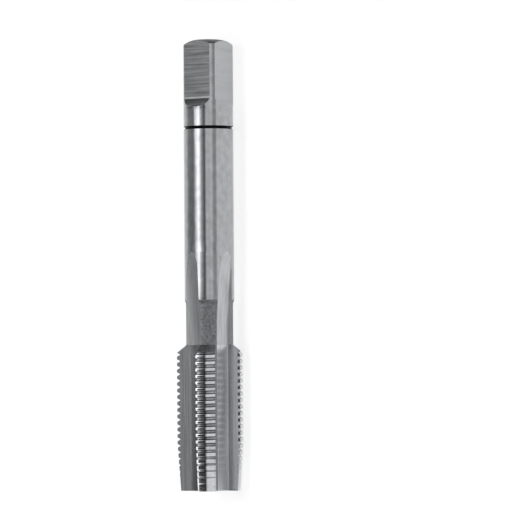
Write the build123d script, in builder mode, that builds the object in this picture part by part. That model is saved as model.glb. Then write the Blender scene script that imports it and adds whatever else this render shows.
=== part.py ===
from build123d import *
from math import acos, asin, ceil, cos, degrees, radians, sin, sqrt, tan
import os

# A roughing hand tap for a fine pipe thread, made from one bar of tool steel.
# Lengths are in millimetres and angles in degrees.
# The tool's axis is the Y axis, and the middle of its cutting end is the origin.
# The drive square is at +Y. Angles round the axis are counted from +Z towards +X.
# The tool lies on its side with the middle of one flute facing the floor.

overall_length = 63.0
shank_diameter = 6.96
neck_diameter = 6.55

# Thread, in a plane through the axis. A roughing tap's crests are ground down
# below the full diameter, which leaves them flat.
thread_pitch = 0.907
thread_angle = 55.0
pitch_diameter = 9.147
crest_diameter = 9.3
root_diameter = 8.5
thread_length = 19.2
back_cone_angle = 51.0

# Lead: the thread tapers towards the cutting end, so each tooth cuts its share.
lead_length = 6.6
lead_angle = 4.1

# Neck, and the small bevel between it and the shank.
neck_end = 26.06
shoulder_length = 0.54

# Flutes. The rake face hooks in behind the cutting edge, the heel side is straight,
# and the floor between them is slightly hollow. It touches the core circle where the
# floor's turn from the flute's middle says. Both corners are round.
flute_count = 4
flute_direction = 0.0
land_angle = 34.4
rake_hook = 6.0
heel_turn = 45.0
floor_turn = 9.0
floor_radius = 7.4
core_diameter = 4.9
rake_root_radius = 0.4
heel_root_radius = 0.3
flute_cutter_radius = 95.0
flute_reach = 33.3

# Drive square, milled with a cutter that has round corners.
square_across_flats = 5.42
square_length = 8.1
square_corner_direction = 63.1
square_cutter_corner = 1.65

# Drive end: a flat face with a large round edge.
end_face_diameter = 2.8
end_round_radius = 3.3

# Ring groove, which marks the first tap of a set.
ring_from_end = 12.37
ring_width = 0.45
ring_depth = 0.22
ring_lip = 0.08

# Centre holes at both ends, on which the tool was turned and ground.
centre_mouth_diameter = 2.12
centre_pilot_diameter = 1.0
centre_angle = 60.0
centre_depth = 1.9
drill_point_angle = 118.0

# How far a cut starts outside the metal.
cutter_overrun = 1.0
groove_overrun = 0.1

shank_radius = shank_diameter / 2
neck_radius = neck_diameter / 2
crest_radius = crest_diameter / 2
root_radius = root_diameter / 2
core_radius = core_diameter / 2
tip_radius = crest_radius - lead_length * tan(radians(lead_angle))
shoulder_end = neck_end + shoulder_length
back_cone_end = thread_length + (crest_radius - neck_radius) / tan(radians(back_cone_angle))

end_face_radius = end_face_diameter / 2
end_round_turn = asin((shank_radius - end_face_radius) / end_round_radius)
end_round_start = overall_length - end_round_radius * (1 - cos(end_round_turn))

# The flute cutter rises on an arc. At the flute's reach the floor comes out of the
# shank, at the place where the floor and the shank's surface face the same way.
floor_centre_x = (core_radius + floor_radius) * cos(radians(floor_turn))
floor_centre_y = (core_radius + floor_radius) * sin(radians(floor_turn))
reach_turn = asin(floor_centre_y / (floor_radius + shank_radius))
reach_out = shank_radius * cos(reach_turn)
floor_out = floor_centre_x - floor_radius * cos(reach_turn)
cutter_height = core_radius + flute_cutter_radius
straight_end = flute_reach - sqrt((cutter_height - floor_out) ** 2 - (cutter_height - reach_out) ** 2)
cutter_lift = crest_radius + cutter_overrun - core_radius
cutter_turn = degrees(acos(1 - cutter_lift / flute_cutter_radius))


def across(angle, along):
    """Plane square to the axis, with its x direction at an angle round the axis."""
    turn = radians(angle)
    return Plane(origin=(0, along, 0), x_dir=(sin(turn), 0, cos(turn)), z_dir=(0, 1, 0))


def through(angle):
    """Plane through the axis: x runs along +Y, and y points at an angle round it."""
    turn = radians(angle)
    return Plane(origin=(0, 0, 0), x_dir=(0, 1, 0), z_dir=(cos(turn), 0, -sin(turn)))


def turned_profile():
    """Half section of the turned blank, from the axis out, with Y as its x."""
    with BuildSketch(Plane.YZ) as section:
        with BuildLine():
            Polyline(
                (overall_length, end_face_radius),
                (overall_length, 0),
                (0, 0),
                (0, tip_radius),
                (lead_length, crest_radius),
                (thread_length, crest_radius),
                (back_cone_end, neck_radius),
                (neck_end, neck_radius),
                (shoulder_end, shank_radius),
                (end_round_start, shank_radius),
            )
            RadiusArc(
                (end_round_start, shank_radius),
                (overall_length, end_face_radius),
                end_round_radius,
            )
        make_face()
    return section.sketch


def ring_profile():
    """Section of the ring groove, a slot whose two lips are broken at 45 degrees."""
    middle = overall_length - ring_from_end
    half = ring_width / 2
    with BuildSketch(Plane.YZ) as section:
        with BuildLine():
            Polyline(
                (middle - half, shank_radius - ring_depth),
                (middle - half, shank_radius - ring_lip),
                (middle - half - ring_lip - cutter_overrun, shank_radius + cutter_overrun),
                (middle + half + ring_lip + cutter_overrun, shank_radius + cutter_overrun),
                (middle + half, shank_radius - ring_lip),
                (middle + half, shank_radius - ring_depth),
                close=True,
            )
        make_face()
    return section.sketch


def centre_profile(face, inward):
    """Half section of a centre hole in the end face at that Y, going inward."""
    mouth = centre_mouth_diameter / 2
    pilot = centre_pilot_diameter / 2
    cone = (mouth - pilot) / tan(radians(centre_angle / 2))
    point = pilot / tan(radians(drill_point_angle / 2))
    with BuildSketch(Plane.YZ) as section:
        with BuildLine():
            Polyline(
                (face - inward * cutter_overrun, 0),
                (face - inward * cutter_overrun, mouth),
                (face, mouth),
                (face + inward * cone, pilot),
                (face + inward * centre_depth, pilot),
                (face + inward * (centre_depth + point), 0),
                close=True,
            )
        make_face()
    return section.sketch


def flat_profile(plane):
    """Side view of what one pass of the square's cutter takes off the shank."""
    flat = square_across_flats / 2
    start = overall_length - square_length
    outside = shank_radius + cutter_overrun
    past_end = overall_length + cutter_overrun
    with BuildSketch(plane) as section:
        with BuildLine():
            corner = RadiusArc(
                (start, flat),
                (start - square_cutter_corner, flat + square_cutter_corner),
                square_cutter_corner,
            )
            Polyline(
                corner @ 1,
                (start - square_cutter_corner, outside),
                (past_end, outside),
                (past_end, flat),
                corner @ 0,
            )
        make_face()
    return section.sketch


def meeting(first, second):
    """Point where two straight sides meet, each given as the direction of its normal
    and its distance from the tool's axis."""
    first_turn, first_distance = radians(first[0]), first[1]
    second_turn, second_distance = radians(second[0]), second[1]
    spread = sin(second_turn - first_turn)
    x = first_distance * sin(second_turn) - second_distance * sin(first_turn)
    y = second_distance * cos(first_turn) - first_distance * cos(second_turn)
    return (x / spread, y / spread)


def flute_profile(plane):
    """Section of one flute, whose middle is along the sketch's x direction.

    The heel side starts at the heel of one land and the rake face at the cutting
    edge of the next. The circle of the hollow floor cuts off the wedge between them.
    """
    rake_turn = (360 / flute_count - land_angle) / 2
    rake_normal = rake_turn - rake_hook - 90
    heel = (heel_turn, crest_radius * cos(radians(rake_turn + heel_turn)))
    rake = (rake_normal, crest_radius * cos(radians(rake_turn - rake_normal)))
    outside = (0, crest_radius + cutter_overrun)
    with BuildSketch(plane) as section:
        with BuildLine():
            Polyline(meeting(outside, heel), meeting(heel, rake), meeting(rake, outside), close=True)
        make_face()
        with Locations((floor_centre_x, floor_centre_y)):
            Circle(floor_radius, mode=Mode.INTERSECT)
        fillet(section.vertices().sort_by(Axis.Y)[1], heel_root_radius)
        fillet(section.vertices().sort_by(Axis.Y)[-2], rake_root_radius)
    return section.sketch


def groove_turn(start):
    """One turn of the helical thread groove, as a solid, from that Y on."""
    half_angle = tan(radians(thread_angle / 2))
    root_flat = thread_pitch / 2 - (pitch_diameter - root_diameter) * half_angle
    height = crest_radius + groove_overrun - root_radius
    mouth = root_flat + 2 * height * half_angle
    with BuildPart() as turn:
        with BuildLine() as path:
            Helix(thread_pitch, thread_pitch, root_radius, (0, start, 0), (0, 1, 0))
        with BuildSketch(Plane(origin=path.line @ 0, x_dir=(0, 0, 1), z_dir=(1, 0, 0))):
            with BuildLine():
                Polyline(
                    (0, -root_flat / 2),
                    (height, -mouth / 2),
                    (height, mouth / 2),
                    (0, root_flat / 2),
                    close=True,
                )
            make_face()
        sweep(path=path.line, is_frenet=True)
    return turn.part


# The groove starts one turn before the cutting end and runs out past the back cone.
groove_turns = ceil(back_cone_end / thread_pitch) + 2
thread_groove = [groove_turn((number - 1) * thread_pitch) for number in range(groove_turns)]

with BuildPart() as tap:
    # Turned and ground blank
    revolve(turned_profile(), axis=Axis.Y)

    # Ring groove
    revolve(ring_profile(), axis=Axis.Y, mode=Mode.SUBTRACT)

    # Centre holes
    revolve(centre_profile(0, 1), axis=Axis.Y, mode=Mode.SUBTRACT)
    revolve(centre_profile(overall_length, -1), axis=Axis.Y, mode=Mode.SUBTRACT)

    # Drive square
    for number in range(4):
        side = through(square_corner_direction + 45 + number * 90)
        extrude(flat_profile(side), amount=shank_diameter, both=True, mode=Mode.SUBTRACT)

    # Flutes: straight from the cutting end, then out of the shank on the cutter's arc
    for number in range(flute_count):
        direction = flute_direction + number * 360 / flute_count
        entry = across(direction, -cutter_overrun)
        flute_length = straight_end + cutter_overrun
        extrude(flute_profile(entry), amount=flute_length, mode=Mode.SUBTRACT)
        lift = across(direction, straight_end)
        cutter_centre = lift.origin + lift.x_dir * cutter_height
        cutter_axis = Axis(cutter_centre, lift.y_dir)
        revolve(flute_profile(lift), cutter_axis, cutter_turn, mode=Mode.SUBTRACT)

    # Thread
    add(thread_groove, mode=Mode.SUBTRACT)

tap.part.label = "tap"
os.makedirs("parts", exist_ok=True)
export_step(tap.part, "parts/tap.step")
print("tap", round(tap.part.volume, 2), "mm3,", len(tap.part.faces()), "faces")
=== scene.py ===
# %% [markdown]
# A hand tap lies on a pale table. It is one piece of hardened tool steel, turned,
# milled and ground, so everything that tells its parts apart is shape and finish.
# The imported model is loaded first. It fixes the size and the place of the steel.

# %% Load the frame
import math

import bpy
import numpy as np
from mathutils import Matrix, Vector


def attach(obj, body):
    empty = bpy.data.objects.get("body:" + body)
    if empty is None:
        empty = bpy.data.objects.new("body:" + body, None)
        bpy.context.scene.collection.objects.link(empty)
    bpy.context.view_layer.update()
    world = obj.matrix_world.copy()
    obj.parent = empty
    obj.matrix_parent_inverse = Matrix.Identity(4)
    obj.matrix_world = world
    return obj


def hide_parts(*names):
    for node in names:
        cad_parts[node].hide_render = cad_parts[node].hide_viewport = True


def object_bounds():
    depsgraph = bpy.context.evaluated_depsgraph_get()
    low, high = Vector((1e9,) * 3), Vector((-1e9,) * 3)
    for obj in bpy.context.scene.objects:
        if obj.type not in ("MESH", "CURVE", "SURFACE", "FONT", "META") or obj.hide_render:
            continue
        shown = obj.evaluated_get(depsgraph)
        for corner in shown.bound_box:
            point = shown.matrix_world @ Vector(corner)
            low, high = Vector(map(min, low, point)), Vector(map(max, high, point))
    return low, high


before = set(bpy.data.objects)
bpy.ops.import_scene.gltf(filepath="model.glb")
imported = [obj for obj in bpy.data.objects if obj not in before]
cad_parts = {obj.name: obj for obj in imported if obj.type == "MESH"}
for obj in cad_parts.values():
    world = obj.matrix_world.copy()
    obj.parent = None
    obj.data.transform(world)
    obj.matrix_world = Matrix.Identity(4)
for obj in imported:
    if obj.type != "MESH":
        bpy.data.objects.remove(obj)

cad_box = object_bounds()
print("nodes:", sorted(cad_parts))
print("box in mm:", [[round(c * 1000, 2) for c in corner] for corner in cad_box])

# %% [markdown]
# Blender measures in metres, and a tap is drawn in millimetres, so each size below
# is a real one times mm. The tap's axis is the Y axis, with the cutting end at
# zero and the drive square at +Y. Angles go round the axis from +Z towards +X.

# %% Sizes of the turned blank
mm = 0.001
turn = 2 * math.pi
length = cad_box[1][1] - cad_box[0][1]
shank_radius = 3.48 * mm
neck_radius = 3.275 * mm
neck_end = 26.06 * mm
shoulder_end = 26.6 * mm
end_face_radius = 1.4 * mm
end_round = 3.3 * mm
ring_middle = length - 12.37 * mm
ring_width = 0.32 * mm
ring_depth = 0.22 * mm
ring_lip = 0.06 * mm
print("length", round(length / mm, 2), "mm, shank", round(2 * shank_radius / mm, 2), "mm")

# %% [markdown]
# The thread is a 55 degree groove of 28 turns to the inch. A first tap has its
# crests ground down, and a long lead at the cutting end where they taper away, so
# the groove gets shallower there until only a plain cone is left.

# %% Sizes of the thread
pitch = 0.907 * mm
flank_slope = math.tan(math.radians(27.5))
crest_radius = 4.65 * mm
root_radius = 4.25 * mm
root_round = 0.0666 * mm
crest_round = 0.015 * mm
blank_round = 0.03 * mm
lead_length = 6.6 * mm
lead_slope = math.tan(math.radians(4.1))
tip_radius = crest_radius - lead_length * lead_slope
thread_length = 19.2 * mm
back_slope = math.tan(math.radians(51))
back_end = thread_length + (crest_radius - neck_radius) / back_slope
print("pitches along a land:", round(thread_length / pitch, 1))

# %% [markdown]
# Two surfaces that meet in a perfectly sharp edge look like folded paper. Real
# edges are a little round, ground ones too. Taking the lower or the higher of two
# radii with a small rounding gives that for the whole surface at once.


# %% Rounded meeting of two surfaces
def lower(a, b, rounding):
    """The smaller of two radii: half of a + b - sqrt((a - b)^2 + rounding^2)."""
    return (a + b - np.sqrt((a - b) ** 2 + rounding**2)) / 2


def higher(a, b, rounding):
    """The larger of two radii, rounded in the same way."""
    return -lower(-a, -b, rounding)


def blank_radius(y):
    """Radius of the turned blank from the cutting end to the shank.

    The lead is a line that rises at its taper, the body a constant, and the back a
    steep cone: the lowest of them counts. Then come the neck and the bevel up to
    the shank, where the highest counts.
    """
    lead = tip_radius + y * lead_slope
    back = crest_radius - (y - thread_length) * back_slope
    body = lower(lower(lead, crest_radius, blank_round), back, 2 * blank_round)
    bevel = (shank_radius - neck_radius) / (shoulder_end - neck_end)
    shoulder = lower(neck_radius + (y - neck_end) * bevel, shank_radius, blank_round)
    return higher(higher(body, neck_radius, 2 * blank_round), shoulder, blank_round)


def threaded_radius(y, angle):
    """Radius of a land: the blank, cut by a groove that climbs a pitch a turn.

    The distance to the middle of the groove is y less angle / turn pitches,
    wrapped to half a pitch. The groove's wall is a hyperbola, straight at the
    flank's slope and round at the root.
    """
    phase = y / pitch - angle / turn
    distance = (phase - np.round(phase)) * pitch
    wall = (np.hypot(distance, root_round) - root_round) / flank_slope
    return lower(blank_radius(y), root_radius + wall, crest_round)


stations = np.array([0, lead_length, thread_length, 22 * mm, 30 * mm])
print("blank radii in mm:", np.round(blank_radius(stations) / mm, 2))

# %% [markdown]
# Four flutes cut the thread into four lands. The face that cuts hooks in behind its
# edge, so that it peels the steel off, the heel side slopes, and the floor between
# them is slightly hollow. The grinding wheel is a large disc, so at its end the
# flute rises out of the shank along a circle.

# %% Sizes of the flutes
flute_count = 4
half_gap = math.radians(27.8)
hook = math.radians(6)
heel_turn = math.radians(45)
floor_turn = math.radians(9)
floor_radius = 7.4 * mm
core_radius = 2.45 * mm
past_edge = 2 * mm
wheel_radius = 95 * mm
flute_reach = 33.3 * mm
wheel_height = core_radius + wheel_radius
floor_centre = (core_radius + floor_radius) * np.array([math.cos(floor_turn), math.sin(floor_turn)])
reach_turn = math.asin(floor_centre[1] / (floor_radius + shank_radius))
floor_out = floor_centre[0] - floor_radius * math.cos(reach_turn)
reach_out = shank_radius * math.cos(reach_turn)
run_out = math.sqrt((wheel_height - floor_out) ** 2 - (wheel_height - reach_out) ** 2)
straight_end = flute_reach - run_out
print("the wheel leaves its straight path at", round(straight_end / mm, 2), "mm")

# %% [markdown]
# A flute's section is walked from its heel edge to its rake edge, and a place along
# it is a number from 0 to 1. Its two roots have the same places everywhere, so that a
# column of the mesh can follow each of them.


# %% Section of a flute
def to_floor(normal_turn, edge, deeper):
    """Point where a straight side through an edge of the land meets the hollow floor.

    Along the side's direction it lies at -p plus or minus sqrt(p^2 - q), where p and
    q come from the distance between the edge and the centre of the floor's circle.
    """
    direction = np.array([-math.sin(normal_turn), math.cos(normal_turn)])
    start = edge - floor_centre
    p, q = start @ direction, start @ start - floor_radius**2
    return edge + direction * (-p + deeper * math.sqrt(p * p - q)), direction


def arc(centre, first, last, way):
    """Arc between two points round a centre: both radii, mixed by sines."""
    first, last = first - centre, last - centre
    spanned = math.acos(first @ last / np.hypot(*first) / np.hypot(*last))
    mixed = np.sin((1 - way) * spanned) * first + np.sin(way * spanned) * last
    return centre + mixed / math.sin(spanned)


def flute_curve(heel_root, rake_root):
    """Points (out, side) along a flute's section, with their place from 0 to 1.

    It runs down the heel side, along the floor and up the rake face, from above one
    edge to above the other. The two roots are the places where these three meet.
    """
    heel_edge = crest_radius * np.array([math.cos(half_gap), -math.sin(half_gap)])
    rake_edge = crest_radius * np.array([math.cos(half_gap), math.sin(half_gap)])
    heel_foot, down = to_floor(heel_turn, heel_edge, 1)
    rake_foot, up = to_floor(half_gap - hook - turn / 4, rake_edge, -1)
    above_heel, above_rake = heel_edge - down * past_edge, rake_edge + up * past_edge
    way = np.linspace(0, 1, samples)[:, None]
    heel_side = above_heel + way * (heel_foot - above_heel)
    flute_floor = arc(floor_centre, heel_foot, rake_foot, way)
    rake_face = rake_foot + way * (above_rake - rake_foot)
    stops = np.array([0, heel_root, rake_root, 1])
    curve_places = stops[:-1, None] + np.diff(stops)[:, None] * way.T
    return np.vstack([heel_side, flute_floor, rake_face]), curve_places.ravel()


samples = 400
heel_root, rake_root = 0.43, 0.69
curve_points, curve_places = flute_curve(heel_root, rake_root)
places = np.linspace(0, 1, samples + 1)
flute_out = np.interp(places, curve_places, curve_points[:, 0])
flute_side = np.interp(places, curve_places, curve_points[:, 1])
print("core diameter", round(2 * np.hypot(flute_out, flute_side).min() / mm, 2), "mm")

# %% [markdown]
# Where the wheel rises, each point of the section goes round the wheel's axis.
# The flute narrows as it does so, and ends in a point on the shank. That point is
# found first, because the columns of the mesh have to close up there.


# %% Rise of the wheel
def lifted(out, y):
    """Distance from the tap's axis of a point of the section, further along at y.

    It is wheel_height - sqrt((wheel_height - out)^2 - (y - straight_end)^2).
    """
    past = np.maximum(y - straight_end, 0)
    return wheel_height - np.sqrt((wheel_height - out) ** 2 - past**2)


shank_out = np.sqrt(np.maximum(shank_radius**2 - flute_side**2, 0))
past_squared = (wheel_height - flute_out) ** 2 - (wheel_height - shank_out) ** 2
tip_place = places[np.argmax(past_squared)]
tip_y = straight_end + math.sqrt(past_squared.max())
tip_angle = math.asin(np.interp(tip_place, places, flute_side) / shank_radius)
print("a flute ends at", round(tip_y / mm, 2), "mm,", round(math.degrees(tip_angle), 1), "degrees")


# %% Edges of a flute
def flute_edge(y, radius, rake):
    """Place along the section where the flute reaches that radius.

    The rake side is the last place that lies inside the radius, and the heel side
    the first. A straight step between two samples gives the place in between.
    """
    above = np.hypot(lifted(flute_out, y[..., None]), flute_side) - radius[..., None]
    if rake:
        above = above[..., ::-1]
    inside = np.maximum((above < 0).argmax(-1), 1)
    outer = np.take_along_axis(above, inside[..., None] - 1, -1)[..., 0]
    inner = np.take_along_axis(above, inside[..., None], -1)[..., 0]
    place = (inside - 1 + outer / (outer - inner)) * places[1]
    place = 1 - place if rake else place
    return np.where((above < 0).any(-1), place, tip_place)


def on_flute(place, y):
    """Point of the flute at a place along its section: (out, side)."""
    out = lifted(np.interp(place, places, flute_out), y)
    return out, np.interp(place, places, flute_side)


nose_edges = [flute_edge(np.zeros(1), np.full(1, tip_radius), rake) for rake in (False, True)]
print("at the nose a flute runs from", *[round(float(edge[0]), 3) for edge in nose_edges])

# %% [markdown]
# The drive square is milled across the shank. Its cutter has round corners, so
# each flat ends in a scooped crescent, and the four corners keep the shank's own
# round surface as narrow strips.

# %% Drive square
flat_radius = 2.71 * mm
square_start = length - 8.1 * mm
corner_angle = math.radians(63.1)
flat_middle = corner_angle - turn / 8
scoop = 1.65 * mm
scoop_rise = shank_radius - flat_radius
scoop_end = square_start - math.sqrt(scoop**2 - (scoop - scoop_rise) ** 2)


def flat_height(y):
    """Distance of a flat from the axis, rising on the cutter's round corner."""
    short = np.clip(square_start - y, 0, scoop)
    return flat_radius + scoop - np.sqrt(scoop**2 - short**2)


def flat_half_angle(y, radius):
    """Half the angle that a flat takes from the round at that radius, none at 0."""
    return np.arccos(np.clip(flat_height(y) / np.maximum(radius, 1e-3 * mm), 0, 1))


print("flats end at", round(square_start / mm, 2), "mm, crescents at", round(scoop_end / mm, 2), "mm")

# %% [markdown]
# The whole tap is one grid. Its rows are stations along the axis, and its columns
# go round it. In the thread the rows are tilted to follow the groove, so that the
# crests and roots run along the grid and stay crisp. The jump of one pitch that a
# full turn leaves is spread over a flute, where there is no groove to follow.

# %% Columns
land_columns = 20
flute_columns = 19
corner_columns = 10
quarters = np.arange(flute_count) * turn / flute_count
land_share = np.arange(land_columns + 1) / land_columns
heel_columns, floor_columns = 6, 8
rake_columns = flute_columns - heel_columns - floor_columns
inside_flute = np.arange(1, flute_columns)
flute_share = inside_flute / flute_columns
pair_columns = flute_columns + land_columns
columns = flute_count * pair_columns
print("columns:", columns)


def tilt(angle, share):
    """Shift along the axis of a row at an angle: a pitch a turn, times a share."""
    return pitch * share * ((angle / turn + 0.5) % 1 - 0.5)


def eased(t):
    """Rises smoothly from 0 to 1 as t does: 3 t^2 - 2 t^3."""
    t = np.clip(t, 0, 1)
    return t * t * (3 - 2 * t)


def spread_over(start, heel_foot, rake_foot, stop):
    """Places of a flute's columns: six spans down the heel side, eight along the
    floor and the rest up the rake face, so that both roots lie on columns."""
    down = np.clip(inside_flute / heel_columns, 0, 1)
    along = np.clip((inside_flute - heel_columns) / floor_columns, 0, 1)
    up = np.clip((inside_flute - heel_columns - floor_columns) / rake_columns, 0, 1)
    return start + (heel_foot - start) * down + (rake_foot - heel_foot) * along + (stop - rake_foot) * up


# %% Rows with flutes
def fluted_rows(rows):
    """Points of the rows from the cutting end to where the flutes end.

    The land's two edges lie where the flute's section meets the land's radius,
    which depends on where they are, so they are worked out three times over. The
    flute's columns then share the way from edge to edge along the section.
    """
    tilted_from, tilted_to = 1 * mm, back_end + pitch / 2
    share = eased(rows / tilted_from) * eased((neck_end - rows) / (neck_end - tilted_to))
    rows, share = rows[:, None], share[:, None]
    rake_angle = quarters + half_gap + 0 * rows
    heel_angle = quarters + quarters[1] - half_gap + 0 * rows
    for _ in range(3):
        rake_y = rows + tilt(rake_angle, share)
        heel_y = rows + tilt(heel_angle, share)
        rake_place = flute_edge(rake_y, threaded_radius(rake_y, rake_angle), True)
        heel_place = flute_edge(heel_y, threaded_radius(heel_y, heel_angle), False)
        rake_out, rake_side = on_flute(rake_place, rake_y)
        heel_out, heel_side = on_flute(heel_place, heel_y)
        rake_angle = quarters + np.arctan2(rake_side, rake_out)
        heel_angle = quarters + quarters[1] + np.arctan2(heel_side, heel_out)

    start_place, start_y = np.roll(heel_place, 1, 1), np.roll(heel_y, 1, 1)
    stops = [start_place, np.clip(heel_root, start_place, rake_place)]
    stops += [np.clip(rake_root, start_place, rake_place), rake_place]
    place = spread_over(*[stop[..., None] for stop in stops])
    flute_y = start_y[..., None] + (rake_y - start_y)[..., None] * flute_share
    out, side = on_flute(place, flute_y)
    way, sideways = quarters[:, None], quarters[:, None] + turn / 4
    flute_x = out * np.sin(way) + side * np.sin(sideways)
    flute_z = out * np.cos(way) + side * np.cos(sideways)

    angle = rake_angle[..., None] + (heel_angle - rake_angle)[..., None] * land_share
    land_y = rows[..., None] + tilt(angle, share[..., None])
    radius = threaded_radius(land_y, angle)
    land = np.stack([radius * np.sin(angle), land_y, radius * np.cos(angle)], -1)
    flute = np.stack([flute_x, flute_y, flute_z], -1)
    return np.concatenate([flute, land], 2).reshape(len(rows), columns, 3)


one_row = fluted_rows(np.array([thread_length / 2]))
row_reach = np.hypot(one_row[..., 0], one_row[..., 2]).max()
print("a row in the thread reaches out to", round(row_reach / mm, 2), "mm")

# %% [markdown]
# The rows lie close together where the surface turns: at the groove's root and at
# the crest's two edges, on both sides of the neck's bevel, and at a flute's tip.

# %% Rows in the thread and the neck
half_pitch = np.array([0, 0.035, 0.0584, 0.078, 0.12, 0.17, 0.22, 0.25, 0.2665, 0.285, 0.35]) * mm
one_pitch = np.concatenate([half_pitch, [pitch / 2], pitch - half_pitch[:0:-1]])
pitches = math.ceil((back_end + pitch / 2) / pitch)
thread_rows = (np.arange(pitches)[:, None] * pitch + one_pitch).ravel()
thread_rows = thread_rows[thread_rows < back_end + pitch / 2]
beside = 0.08 * mm
neck_steps, run_out_steps = 13, 33
neck_rows = np.linspace(thread_rows[-1], neck_end - beside, neck_steps + 1)[1:]
bevel_rows = np.array([neck_end, neck_end + beside, shoulder_end - beside, shoulder_end])
still_to_go = np.linspace(1, 0, run_out_steps + 1)[:-1]
run_out_rows = tip_y - (tip_y - shoulder_end - beside) * still_to_go**2
front_rows = np.concatenate([thread_rows, neck_rows, bevel_rows, run_out_rows])
front = fluted_rows(front_rows)
print("rows with flutes:", len(front_rows), "of which in the thread:", len(thread_rows))


# %% Rows of the shank and the drive square
def round_rows(y, radius):
    """Points of the rows behind the flutes, which a round or a flat surface makes.

    The flutes' columns have closed up. The others slide round to the square, five
    on each side of a flat's middle and the rest on the corners. A flat's radius is
    its height over the cosine of the angle from its middle.
    """
    slid = np.clip((y - tip_y) / (scoop_end - tip_y), 0, 1)[:, None]
    half = flat_half_angle(y, radius)[:, None]
    flat_share = (1 - corner_columns / land_columns) / 2
    near = np.clip(land_share / flat_share, 0, 1)
    far = np.clip(1 - (1 - land_share) / flat_share, 0, 1)
    corner = np.clip((land_share - flat_share) / (1 - 2 * flat_share), 0, 1)
    squared = half * near + (turn / 4 - 2 * half) * corner + half * far
    spread = (1 - slid) * land_share * turn / 4 + slid * squared
    off_middle = np.minimum(spread, turn / 4 - spread)
    land_radius = np.minimum(radius[:, None], flat_height(y)[:, None] / np.cos(off_middle))
    start = tip_angle + slid * (flat_middle - tip_angle)
    closed = np.zeros(flute_columns - 1, int)
    picked = np.concatenate([closed, np.arange(land_columns + 1)])
    angle = (start + spread)[:, None, picked] + quarters[:, None]
    radius = np.broadcast_to(land_radius[:, None, picked], angle.shape)
    along = np.broadcast_to(y[:, None, None], angle.shape)
    points = np.stack([radius * np.sin(angle), along, radius * np.cos(angle)], -1)
    return points.reshape(len(y), columns, 3)


def ring_rows():
    """Rows of the ring groove: lip, wall and floor, and the same back again."""
    half, soft = ring_width / 2, ring_lip / 4
    near = [(half + ring_lip, 0), (half, ring_lip)]
    near += [(half, ring_depth - soft), (half - soft, ring_depth)]
    left = [(ring_middle - y, shank_radius - drop) for y, drop in near]
    right = [(ring_middle + y, shank_radius - drop) for y, drop in reversed(near)]
    return left + right


def end_rows():
    """Rows of the rounded drive end, at even turns of its arc. The first half of
    them still cross the flats."""
    first = math.asin((shank_radius - end_face_radius) / end_round)
    flat_gone = math.asin((flat_radius - end_face_radius) / end_round)
    beyond_flats = np.linspace(flat_gone, 0, flat_arc_rows + 1)[1:]
    turns = np.concatenate([np.linspace(first, flat_gone, flat_arc_rows), beyond_flats])
    along = length - end_round * (1 - np.cos(turns))
    return np.column_stack([along, end_face_radius + end_round * np.sin(turns)])


flat_arc_rows = 8
plain_steps, short_steps, scoop_steps, flat_steps = 11, 5, 13, 9
ring = np.array(ring_rows())
end = end_rows()
plain_rows = np.linspace(tip_y, ring[0, 0], plain_steps + 1)[:-1]
before_square = np.linspace(ring[-1, 0], scoop_end, short_steps + 1)[1:-1]
scoop_turns = np.linspace(0, turn / 4, scoop_steps + 1)
scoop_rows = square_start - (square_start - scoop_end) * np.cos(scoop_turns)
flat_rows = np.linspace(square_start, end[0, 0], flat_steps + 1)[1:-1]
print("the drive end is round from", round(end[0, 0] / mm, 2), "mm")

# %% [markdown]
# The tap was turned and ground between centres, which needs a small cone-mouthed
# hole in each end. The same columns run down into both holes.

# %% Centre holes
hole_mouth = 1.06 * mm
hole_pilot = 0.5 * mm
hole_depth = 1.9 * mm
hole_half_cone = math.radians(30)
drill_half_point = math.radians(59)


def hole_rows(face, inward):
    """Rows of a centre hole from its mouth to its drill point, as (y, radius)."""
    cone = (hole_mouth - hole_pilot) / math.tan(hole_half_cone)
    point = hole_pilot / math.tan(drill_half_point)
    half_way = (hole_depth + cone) / 2
    rows = [(0, hole_mouth), (cone, hole_pilot), (half_way, hole_pilot)]
    rows += [(hole_depth, hole_pilot), (hole_depth + point, 0)]
    return np.array([(face + inward * y, radius) for y, radius in rows])


def nose_rows(rows):
    """Points of the front centre hole. Its columns are turned on past the rake
    faces, which lean over the hole, so that the faces between lie in the metal."""
    past_rake = math.radians(26)
    knots = [0, flute_columns, pair_columns]
    turns = [-half_gap, half_gap + past_rake, quarters[1] - half_gap]
    within = np.interp(np.arange(1, pair_columns + 1), knots, turns)
    angle = np.broadcast_to((quarters[:, None] + within).ravel(), (len(rows), columns))
    radius, along = rows[:, 1, None], np.broadcast_to(rows[:, :1], angle.shape)
    return np.stack([radius * np.sin(angle), along, radius * np.cos(angle)], -1)


def on_shank(rows):
    """Rows with the shank's radius, as (y, radius)."""
    return np.column_stack([rows, np.full(len(rows), shank_radius)])


front_hole = nose_rows(hole_rows(0, 1)[::-1])
plain_and_square = np.vstack(
    [
        on_shank(plain_rows),
        ring,
        on_shank(before_square),
        on_shank(scoop_rows),
        on_shank(flat_rows),
        end,
        hole_rows(length, -1),
    ]
)
back = round_rows(plain_and_square[:, 0], plain_and_square[:, 1])
grid = np.concatenate([front_hole, front, back])
print("grid:", grid.shape[0], "rows by", grid.shape[1], "columns")

# %% [markdown]
# The grid is closed into a skin. Where columns close up, such as at a flute's
# point or a drill point, grid points coincide. They are merged, a face that has
# lost a corner becomes a triangle, and one that has lost two is dropped.

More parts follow.
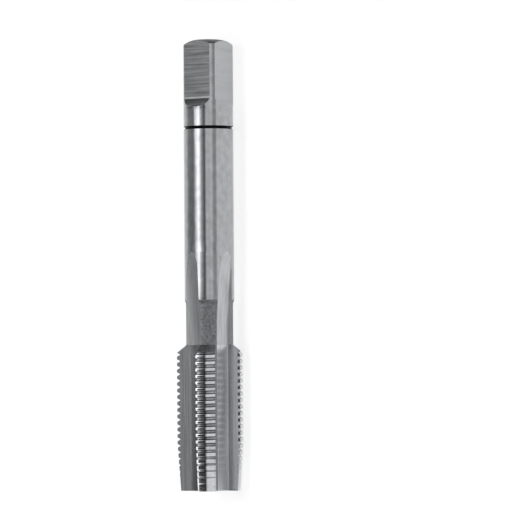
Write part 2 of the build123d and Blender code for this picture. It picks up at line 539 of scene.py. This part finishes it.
# %% Merge the grid into vertices and faces
row_count = len(grid)
resolution = 1e-4 * mm
keys = np.round(grid.reshape(-1, 3) / resolution).astype(int)
_, first, merged = np.unique(keys, axis=0, return_index=True, return_inverse=True)
vertices = grid.reshape(-1, 3)[first]
index = merged.reshape(row_count, columns)
next_one = np.roll(index, -1, 1)
corners = np.stack([index[:-1], next_one[:-1], next_one[1:], index[1:]], -1).reshape(-1, 4)
lost = corners == np.roll(corners, -1, 1)
four, three = lost.sum(1) == 0, lost.sum(1) == 1
quads = corners[four]
triangles = corners[three][~lost[three]].reshape(-1, 3)
print("vertices:", len(vertices), "quads:", len(quads), "triangles:", len(triangles))


# %% Test that the skin is closed
def directed_edges(faces):
    """Each face's edges in the order of its corners."""
    return np.stack([faces, np.roll(faces, -1, 1)], -1).reshape(-1, 2)


def signed_volume(faces):
    """Volume under a fan of triangles from each face's first corner to the origin."""
    total = 0
    for k in range(1, faces.shape[1] - 1):
        a, b, c = (vertices[faces[:, i]] for i in (0, k, k + 1))
        total += (a * np.cross(b, c)).sum() / 6
    return total


one_way = np.vstack([directed_edges(quads), directed_edges(triangles)])
there = np.sort(one_way[:, 0] * len(vertices) + one_way[:, 1])
back_again = np.sort(one_way[:, 1] * len(vertices) + one_way[:, 0])
volume = signed_volume(quads) + signed_volume(triangles)
print("closed, with all faces outwards:", bool(np.array_equal(there, back_again) and volume > 0))
print("volume:", round(volume / mm**3, 1), "mm3")

# %% [markdown]
# The finish changes along the tap and round it. The thread and the shank are ground,
# the neck keeps the skin of the furnace, the flutes are ground along, and the square
# is milled across. Each face gets the number of its finish from where it lies: how
# far along the axis, how far out from it, and in which column. The middle of its side
# in that column stands for the face.

# %% Where each face lies
middle = (grid[:-1] + grid[1:]) / 2
centre_y = middle[..., 1]
centre_r = np.hypot(middle[..., 0], middle[..., 2])
centre_angle = np.arctan2(middle[..., 0], middle[..., 2])
row_number = np.arange(row_count - 1)[:, None]
on_front_end = np.broadcast_to(row_number < len(front_hole), centre_y.shape)
fluted = ~on_front_end & (row_number < len(front_hole) + len(front) - 1)
within = np.arange(columns) % pair_columns
rake_column = flute_columns - 1
heel_column = rake_column + land_columns
on_land = (within >= rake_column) & (within < heel_column)
in_flute = fluted & ~on_land
print("faces in the flutes:", int(in_flute.sum()))

# %% [markdown]
# The groove's flanks start a little below the crest and stop a little above the root.
# The cutting edge is the first column of a land, and a tooth's face is the last one
# of a flute. Behind the thread, the flute's rake face and the strip along its heel
# edge are duller than the rest.

# %% Finish of the thread, the flutes and the neck
finishes = ["ground_thread", "thread_groove", "cutting_edge", "tooth_face", "furnace_skin", "ground_shank"]
finishes += ["flute", "run_out", "matt_rake", "upper_flat_painted_shade", "other_flats_painted_light", "turned_end", "turned_groove"]
number = {name: i for i, name in enumerate(finishes)}
below_crest = 0.04 * mm
above_root = 0.035 * mm
finish = np.full(centre_y.shape, number["ground_shank"])
finish[centre_y < shoulder_end] = number["furnace_skin"]
finish[centre_y < thread_length] = number["ground_thread"]
on_flank = (centre_r < blank_radius(centre_y) - below_crest) & (centre_r > root_radius + above_root)
# The flanks get a colour painted darker than the crests', as painted shade.
finish[on_flank & (centre_y < back_end)] = number["thread_groove"]
finish[in_flute] = number["run_out"]
finish[in_flute & (centre_y < back_end)] = number["flute"]
dull_columns = within >= heel_columns + floor_columns - 1
finish[in_flute & (centre_y > back_end) & dull_columns] = number["matt_rake"]
in_teeth = fluted & (centre_y < thread_length)
# The cutting edge gets a painted highlight: a nearly white colour along it.
finish[in_teeth & (within == rake_column)] = number["cutting_edge"]
# The teeth's faces get a painted reflection: a dark colour for the dark gap they mirror.
finish[in_teeth & (within == rake_column - 1) & (centre_r > root_radius)] = number["tooth_face"]
print("finishes:", len(finishes))

# %% [markdown]
# All four flats are milled alike, and two of them face the camera. The upper one is painted
# darker, as painted shade, with strong cutter lines, and a narrow band where the cutter stopped
# gets a painted highlight. The others are painted lighter and even, as painted light.

# %% Finish of the ring, the square and the ends
# A painted highlight: a narrow band of the upper flat, where it meets the scoop, gets the bright thread
# steel.
highlight_band_middle = square_start - 0.16 * mm
highlight_band_half = 0.14 * mm
# The ring groove gets painted shade: a nearly black colour.
finish[abs(centre_y - ring_middle) < ring_width / 2 + ring_lip] = number["turned_groove"]
# The ends and the holes get a very dark colour: dark skin and painted shade.
finish[centre_y > end[0, 0]] = number["turned_end"]
flat_columns = (land_columns - corner_columns) // 2
from_rake = (within - rake_column) % pair_columns
beside_flat = (from_rake < flat_columns) | (from_rake >= land_columns - flat_columns)
on_flat = on_land & beside_flat & (centre_y > scoop_end) & (centre_y < end[flat_arc_rows - 1, 0])
on_upper = on_flat & (abs(centre_angle - flat_middle) < turn / 8)
# The other flats are painted lighter and even, and the upper one darker, as painted light and shade.
finish[on_flat] = number["other_flats_painted_light"]
finish[on_upper] = number["upper_flat_painted_shade"]
finish[on_upper & (abs(centre_y - highlight_band_middle) < highlight_band_half)] = number["ground_thread"]
finish[on_front_end] = number["turned_end"]
of_face = finish.reshape(-1)
print({name: int((of_face == i).sum()) for name, i in number.items()})

# %% [markdown]
# A smooth surface is shaded as if its faces were one curve. The tap's cutting
# edges, the rims of its flats and its turned corners must stay crisp, so edges
# between faces at a clear angle are sharp.

# %% The tap's mesh
sharp_from = math.radians(28)
tap_mesh = bpy.data.meshes.new("hand_tap")
tap_mesh.from_pydata(vertices.tolist(), [], quads.tolist() + triangles.tolist())
tap_mesh.polygons.foreach_set("material_index", np.concatenate([of_face[four], of_face[three]]))
tap_mesh.shade_smooth()
tap_mesh.set_sharp_from_angle(angle=sharp_from)
print("triangles:", 2 * len(quads) + len(triangles))

# %% [markdown]
# An angle alone misses creases that get shallow, such as a flute's edges and roots
# where it runs out, and a flat's rims where it starts. They all follow columns of the
# mesh, so the edges along those columns are made sharp too.


# %% Creases along columns
def edge_keys(a, b):
    """One number for each pair of vertices: the smaller one times the count of
    vertices, plus the larger one."""
    return np.minimum(a, b) * len(vertices) + np.maximum(a, b)


flute_first, flute_last = len(front_hole), len(front_hole) + len(front)
square_first = flute_last + len(plain_rows) + len(ring) + len(before_square)
square_last = square_first + len(scoop_rows) + len(flat_rows) + flat_arc_rows
flute_creases = [rake_column, heel_column, heel_columns - 1, heel_columns + floor_columns - 1]
flat_creases = [rake_column + flat_columns, heel_column - flat_columns]
creased = [(flute_first, flute_last, column) for column in flute_creases]
creased += [(square_first, square_last, column) for column in flat_creases]
crease_keys = []
for start, stop, column in creased:
    for k in range(flute_count):
        line = index[start:stop, column + k * pair_columns]
        crease_keys.append(edge_keys(line[:-1], line[1:]))
ends = np.zeros(len(tap_mesh.edges) * 2, int)
tap_mesh.edges.foreach_get("vertices", ends)
sharp = np.zeros(len(tap_mesh.edges), bool)
tap_mesh.attributes["sharp_edge"].data.foreach_get("value", sharp)
sharp |= np.isin(edge_keys(ends[0::2], ends[1::2]), np.concatenate(crease_keys))
tap_mesh.attributes["sharp_edge"].data.foreach_set("value", sharp)
tap_mesh.update()
print("sharp edges:", int(sharp.sum()))

# %% [markdown]
# The mesh becomes a piece of the model: it rides on the tap's body, and stands in for
# the imported tap.

# %% The tap as a piece
tap = bpy.data.objects.new("hand_tap", tap_mesh)
bpy.context.scene.collection.objects.link(tap)
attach(tap, "root")
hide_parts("tap")
print("piece:", tap.name)

# %% [markdown]
# Every material is made of nodes, and is named for the finish it stands for. One
# function turns a colour as people write it into the light that Blender counts
# with, and one adds a node with its settings and what feeds it.


# %% Colours and nodes
def linear(colour):
    """Linear light of an sRGB hex colour: x / 12.92 up to 0.04045, and above it
    ((x + 0.055) / 1.055) to the power 2.4."""
    srgb = [int(colour[i : i + 2], 16) / 255 for i in (1, 3, 5)]
    return tuple(x / 12.92 if x <= 0.04045 else ((x + 0.055) / 1.055) ** 2.4 for x in srgb) + (1,)


def add(tree, kind, inputs=None, **settings):
    """Adds a node. An input is a number, a colour, or another node's output."""
    node = tree.nodes.new(kind)
    for name, value in settings.items():
        setattr(node, name, value)
    for name, value in (inputs or {}).items():
        if isinstance(value, bpy.types.NodeSocket):
            tree.links.new(value, node.inputs[name])
        else:
            node.inputs[name].default_value = value
    return node


def new_material(name):
    """An empty node material, with its tree and its output node."""
    material = bpy.data.materials.new(name)
    material.use_nodes = True
    material.node_tree.nodes.clear()
    return material, material.node_tree, add(material.node_tree, "ShaderNodeOutputMaterial")


print("linear light of a middle grey:", round(linear("#808080")[0], 3))

# %% [markdown]
# Machined steel is never one even grey. Every tool leaves its marks along the way
# it went, and they are drawn by a noise that is stretched that way. Its cells are
# counted per millimetre of the tap.


# %% Marks of the tools
def marks(tree, cells, detail):
    """Noise round 0.5, with so many cells in a millimetre along X, Y and Z."""
    place = add(tree, "ShaderNodeTexCoord")
    scale = tuple(count / mm for count in cells)
    stretched = add(tree, "ShaderNodeMapping", {"Vector": place.outputs["Object"], "Scale": scale})
    grown = {"Vector": stretched.outputs[0], "Scale": 1.0, "Detail": detail}
    return add(tree, "ShaderNodeTexNoise", grown).outputs[0]


print("one cell in a millimetre is a scale of", round(1 / mm))

# %% [markdown]
# All bare steels are built alike. Most of a noise lies between 0.3 and 0.7, so that
# range is spread from the dark to the light colour. Lines too fine to see widen what
# the steel mirrors across them, and the grain says by how much. Its direction is
# measured from one round the axis, and turned by a quarter for lines that run so.


# %% A bare steel
noise_low, noise_high = 0.3, 0.7
quarter_turned = 0.25
micron = 0.001 * mm


def steel(name, dark, light, tone, roughness, relief, height, grain=0.0, lengthwise=False):
    """A bare steel. Its tone lies between a dark and a light colour, as a noise says,
    and another noise stands up from it by a height. The grain is how much wider it
    blurs along Y than round the axis, or the other way for lengthwise lines."""
    material, tree, output = new_material(name)
    spread = {"Value": marks(tree, *tone), "From Min": noise_low, "From Max": noise_high}
    mixed = add(tree, "ShaderNodeMapRange", spread)
    two_tones = {0: mixed.outputs[0], 6: linear(dark), 7: linear(light)}
    colour = add(tree, "ShaderNodeMix", two_tones, data_type="RGBA")
    raised = {"Height": marks(tree, *relief), "Distance": height, "Strength": 1.0}
    bump = add(tree, "ShaderNodeBump", raised)
    round_axis = add(tree, "ShaderNodeTangent", direction_type="RADIAL", axis="Y")
    inputs = {"Base Color": colour.outputs[2], "Metallic": 1.0, "Roughness": roughness}
    inputs.update({"Normal": bump.outputs[0], "Tangent": round_axis.outputs[0]})
    inputs.update({"Anisotropic": grain, "Anisotropic Rotation": 0.0 if lengthwise else quarter_turned})
    shader = add(tree, "ShaderNodeBsdfPrincipled", inputs)
    tree.links.new(shader.outputs["BSDF"], output.inputs["Surface"])
    return material


print("heights are counted in microns of", micron, "m")

# %% [markdown]
# The shank is ground on a cylindrical grinder. Its lines run round the axis, far too
# fine to see one by one, so they only blur what the steel mirrors along the tap and
# leave it crisp across. The lines drawn here are some tenths of a millimetre wide.

# %% Ground shank
ground_shank = steel(
    "ground_shank_lines_round_the_axis", "#9EA0A2", "#B0B2B4", tone=((1.2, 0.9, 1.2), 4.0),
    roughness=0.2, relief=((1.2, 1.5, 1.2), 3.0), height=2.5 * micron, grain=0.75,
)
print(ground_shank.name)

# %% [markdown]
# The thread is ground last, with a profiled wheel. Its crests and roots are bright and
# crisp, and its flanks, cut by the wheel's sides, a little rougher and painted darker, as
# painted shade. The cutting edges are painted nearly white and matt, as a painted highlight
# along each edge. The teeth's faces look into the dark gap between two teeth, and are painted
# dark as a painted reflection of it.

# %% Ground thread
# The same bright steel is also the painted highlight on the upper flat's band.
ground_thread = steel(
    "bright_thread_and_painted_highlight", "#BCBEC0", "#D8DADC", tone=((0.9, 2.0, 0.9), 3.0),
    roughness=0.07, relief=((0.5, 6.0, 0.5), 2.0), height=0.4 * micron,
)
# Painted shade: the flanks' colour is darker than the crests'.
thread_groove = steel(
    "ground_flanks_and_painted_shade", "#9A9C9E", "#B4B6B8", tone=((0.9, 2.0, 0.9), 3.0),
    roughness=0.14, relief=((0.5, 6.0, 0.5), 2.0), height=0.5 * micron,
)
# Painted highlight: the cutting edge is painted nearly white.
cutting_edge = steel(
    "cutting_edge_painted_highlight", "#D4D6D8", "#F0F1F2", tone=((2.0, 2.0, 2.0), 2.0),
    roughness=0.42, relief=((0.5, 6.0, 0.5), 2.0), height=0.4 * micron,
)
# Painted reflection: the teeth's faces are painted dark for the gap they mirror.
tooth_face = steel(
    "tooth_face_painted_reflection", "#3C3E40", "#5A5C5E", tone=((3.0, 3.0, 3.0), 2.0),
    roughness=0.3, relief=((0.5, 6.0, 0.5), 2.0), height=0.4 * micron,
)
print([m.name for m in (ground_thread, thread_groove, cutting_edge, tooth_face)])

# %% [markdown]
# The neck is not ground after hardening. It keeps the dull, spotted grey skin from
# the furnace, which scatters the light and shows no clear image of the lamps.

# %% Furnace skin
furnace_skin = steel(
    "furnace_skin_dull_spotted", "#6A6C6E", "#96989B", tone=((4.0, 3.0, 4.0), 3.0),
    roughness=0.5, relief=((4.0, 3.0, 4.0), 4.0), height=6 * micron,
)
print(furnace_skin.name)

# %% [markdown]
# The flutes are ground along with the rim of a large wheel, which leaves streaks wide
# enough to see where the light grazes. Where the wheel rises out of the steel it
# leaves a rougher run-out, roughest on the rake side.

# %% Ground flutes
flute = steel(
    "ground_flute_streaks_along", "#B0B2B4", "#CED0D2", tone=((4.0, 0.12, 4.0), 4.0),
    roughness=0.18, relief=((4.0, 0.12, 4.0), 3.0), height=2 * micron, grain=0.3, lengthwise=True,
)
run_out = steel(
    "ground_run_out_streaks_along", "#AAACAE", "#C8CACC", tone=((4.0, 0.16, 4.0), 4.0),
    roughness=0.38, relief=((4.0, 0.12, 4.0), 3.0), height=2.5 * micron, grain=0.3, lengthwise=True,
)
matt_rake = steel(
    "ground_rake_matt", "#C4C6C8", "#D8DADC", tone=((4.0, 0.16, 4.0), 4.0),
    roughness=0.55, relief=((4.0, 0.12, 4.0), 3.0), height=2 * micron,
)
print([m.name for m in (flute, run_out, matt_rake)])

# %% [markdown]
# The flats of the square are milled across. The lines of the cutter's teeth lie some
# tenths of a millimetre apart, and are uneven.

# %% Milled flats
# Painted shade: the upper flat's colour is darker, with the cutter's lines drawn strongly.
upper_flat_painted_shade = steel(
    "flat_cutter_lines_and_painted_shade", "#808284", "#B8BABC", tone=((0.2, 3.4, 0.2), 4.0),
    roughness=0.2, relief=((0.2, 3.0, 0.2), 3.0), height=5 * micron, grain=0.85,
)
# Painted light: the other flats are lighter and show hardly any lines.
other_flats_painted_light = steel(
    "flat_even_painted_light", "#A6A8AA", "#AEB0B2", tone=((0.12, 1.6, 0.12), 2.0),
    roughness=0.24, relief=((0.2, 3.0, 0.2), 2.0), height=0.8 * micron, grain=0.75,
)
print([m.name for m in (upper_flat_painted_shade, other_flats_painted_light)])

# %% [markdown]
# The rounded end, the cutting end's face and the centre holes are only turned. Their colour
# is painted very dark: partly the dark skin from the furnace, partly painted shade for the
# dim light they mirror along the axis and the shade in the holes. The ring groove is painted
# nearly black, as painted shade in a groove so narrow that hardly any light gets in.

# %% Turned end, and turned groove
# Painted shade on a dark skin: the ends and the centre holes are painted very dark.
turned_end = steel(
    "turned_end_painted_shade_on_dark_skin", "#2E2F31", "#48494B", tone=((3.0, 3.0, 3.0), 3.0),
    roughness=0.36, relief=((4.0, 4.0, 4.0), 3.0), height=4 * micron,
)
# Painted shade: the ring groove is painted nearly black.
turned_groove = steel(
    "turned_groove_painted_shade", "#0E0E0F", "#1A1A1B", tone=((2.0, 2.0, 2.0), 2.0),
    roughness=0.5, relief=((4.0, 4.0, 4.0), 2.0), height=2 * micron,
)
by_finish = dict(
    ground_thread=ground_thread,
    thread_groove=thread_groove,
    cutting_edge=cutting_edge,
    tooth_face=tooth_face,
    furnace_skin=furnace_skin,
    ground_shank=ground_shank,
    flute=flute,
    run_out=run_out,
    matt_rake=matt_rake,
    upper_flat_painted_shade=upper_flat_painted_shade,
    other_flats_painted_light=other_flats_painted_light,
    turned_end=turned_end,
    turned_groove=turned_groove,
)
for name in finishes:
    tap_mesh.materials.append(by_finish[name])
print("finishes:", [m.name for m in tap_mesh.materials])

# %% [markdown]
# The camera looks down on the tap from its side at 36 degrees, from half a metre,
# with the drive end at the top of the picture. It is turned by less than half a
# degree, as the tap leans a little in the picture. The camera stands level with the
# end of the thread, and aims beside it by a shift that is counted in pixels.

# %% Camera
view_rise = math.radians(36.3)
back_to_camera = Vector((math.cos(view_rise), 0, math.sin(view_rise)))
right = Vector((math.sin(view_rise), 0, -math.cos(view_rise)))
up = Vector((0, 1, 0))
camera_distance = 0.534
level_with = Vector((0, 20 * mm, 0))
picture_scale = 7.1536 / mm
shift_right, shift_up = 54.72, 83.3
aim = level_with + right * shift_right / picture_scale + up * shift_up / picture_scale
camera_data = bpy.data.cameras.new("camera")
camera_data.sensor_width = 36
camera_data.lens = 260.45
camera_data.clip_start = 0.01
camera = bpy.data.objects.new("camera", camera_data)
bpy.context.scene.collection.objects.link(camera)
bpy.context.scene.camera = camera
place = level_with + back_to_camera * camera_distance
lean = math.radians(0.4)
forward = (aim - place).normalized()
leaning_up = up * math.cos(lean) + right * math.sin(lean)
side_axis = forward.cross(leaning_up).normalized()
axes = Matrix((side_axis, side_axis.cross(forward), -forward)).transposed()
camera.matrix_world = Matrix.Translation(place) @ axes.to_4x4()
print("camera at", [round(c, 3) for c in place])

# %% [markdown]
# The table is matt and white. To the camera, and in what steel mirrors or glass lets
# through, it is brighter than the light on it makes it, so that it ends up nearly
# white and still keeps the tap's shadow.

# %% Table
table_glow = 0.7
table_material, tree, output = new_material("matt_white_table")
matt = add(tree, "ShaderNodeBsdfDiffuse", {"Color": linear("#CFCFCF")})
rays = add(tree, "ShaderNodeLightPath").outputs
seen = rays["Is Camera Ray"]
for kind in ("Is Glossy Ray", "Is Transmission Ray"):
    seen = add(tree, "ShaderNodeMath", {0: seen, 1: rays[kind]}, operation="MAXIMUM").outputs[0]
lift = add(tree, "ShaderNodeMath", {0: seen, 1: table_glow}, operation="MULTIPLY")
glow = add(tree, "ShaderNodeEmission", {"Color": linear("#FFFFFF"), "Strength": lift.outputs[0]})
lifted_white = add(tree, "ShaderNodeAddShader", {0: matt.outputs[0], 1: glow.outputs[0]})
tree.links.new(lifted_white.outputs[0], output.inputs["Surface"])
table_mesh = bpy.data.meshes.new("table")
reach = 3.0
table_z = cad_box[0][2]
square = [(-reach, -reach), (reach, -reach), (reach, reach), (-reach, reach)]
table_mesh.from_pydata([(x, y, table_z) for x, y in square], [], [(0, 1, 2, 3)])
table = bpy.data.objects.new("table", table_mesh)
table_mesh.materials.append(table_material)
bpy.context.scene.collection.objects.link(table)
print("table at", round(table_z / mm, 2), "mm")

# %% [markdown]
# Bare steel shows what is round it more than it shows itself. The studio is a set of
# light and dark strips along the tap: a lamp above it, dark gaps on both sides of the
# lamp, and pale walls further down. A ramp is a list of angles round the tap, in
# degrees, each with its light. The first ramp is what the shank and the run-outs
# mirror. The second has a narrow lamp with a dark card beside it, and is for the
# thread: in a window of directions that lean a little to the cutting end, which its
# crests mirror, and far along the axis, where its flanks face. Towards both ends the
# strips fade into an even grey wall.

# %% Studio
world = bpy.data.worlds.new("studio")
scene = bpy.context.scene
scene.world = world
world.use_nodes = True
tree = world.node_tree
tree.nodes.clear()
direction = add(tree, "ShaderNodeTexCoord")
parts = add(tree, "ShaderNodeSeparateXYZ", {0: direction.outputs["Generated"]}).outputs
around = add(tree, "ShaderNodeMath", {0: parts["X"], 1: parts["Z"]}, operation="ARCTAN2")
whole_turn = {"Value": around.outputs[0], "From Min": -math.pi, "From Max": math.pi}
share = add(tree, "ShaderNodeMapRange", whole_turn)
brightest = 3.6
end_wall = 0.25
wall_from, wall_to = 0.4, 0.85
window_middle, window_half = -0.089, 0.101
flanks_from = 0.3
by_shank = [
    (-110, 1.0), (-98, 1.0), (-72, 0.94), (-62, 0.7), (-54, 0.45), (-46, 0.42), (-26, 0.4), (-18, 0.6),
    (-14, 1.3), (-8, 2.4), (-4, 3.0), (2, 3.6), (6, 3.5), (12, 2.8), (16, 1.5), (22, 0.85), (27, 0.62),
    (31, 0.25), (34.5, 0.03), (37.5, 0.5), (42, 1.0), (46, 1.0), (51, 0.86), (57, 0.86), (66, 1.1),
    (70, 0.95), (74, 0.5), (78, 0.36), (84, 0.42), (90, 0.54), (104, 0.74),
]
by_thread = [
    (-110, 1.0), (-98, 1.0), (-72, 0.8), (-62, 0.4), (-54, 0.2), (-30, 0.06), (-18, 0.06), (-3, 0.12),
    (2, 0.2), (3, 2.1), (7, 2.1), (8, 0.05), (35.3, 0.03), (38.3, 0.5), (42, 0.9), (66, 0.9), (74, 0.65),
    (90, 0.7), (104, 0.82),
]


def strips(stops):
    """Light at each angle round the tap, as a share of the brightest."""
    ramp = add(tree, "ShaderNodeValToRGB", {0: share.outputs[0]})
    elements = ramp.color_ramp.elements
    while len(elements) < len(stops):
        elements.new(0.5)
    for element, (angle, light) in zip(elements, stops):
        element.position = (angle + 180) / 360
        element.color = (light / brightest,) * 3 + (1,)
    return ramp.outputs[0]


window = {0: parts["Y"], 1: window_middle, 2: window_half}
in_window = add(tree, "ShaderNodeMath", window, operation="COMPARE").outputs[0]
along = add(tree, "ShaderNodeMath", {0: parts["Y"]}, operation="ABSOLUTE").outputs[0]
far_along = add(tree, "ShaderNodeMath", {0: along, 1: flanks_from}, operation="GREATER_THAN").outputs[0]
either = add(tree, "ShaderNodeMath", {0: in_window, 1: far_along}, operation="MAXIMUM")
mixed = {0: either.outputs[0], 6: strips(by_shank), 7: strips(by_thread)}
light = add(tree, "ShaderNodeMix", mixed, data_type="RGBA")
to_end = add(tree, "ShaderNodeMapRange", {"Value": along, "From Min": wall_from, "From Max": wall_to})
walls = {0: to_end.outputs[0], 6: light.outputs[2], 7: (end_wall / brightest,) * 3 + (1,)}
room = add(tree, "ShaderNodeMix", walls, data_type="RGBA")
shine = add(tree, "ShaderNodeBackground", {"Color": room.outputs[2], "Strength": brightest})
add(tree, "ShaderNodeOutputWorld", {"Surface": shine.outputs[0]})
scene.view_settings.view_transform = "Standard"
print("stops of the strips:", len(by_shank), "and", len(by_thread))
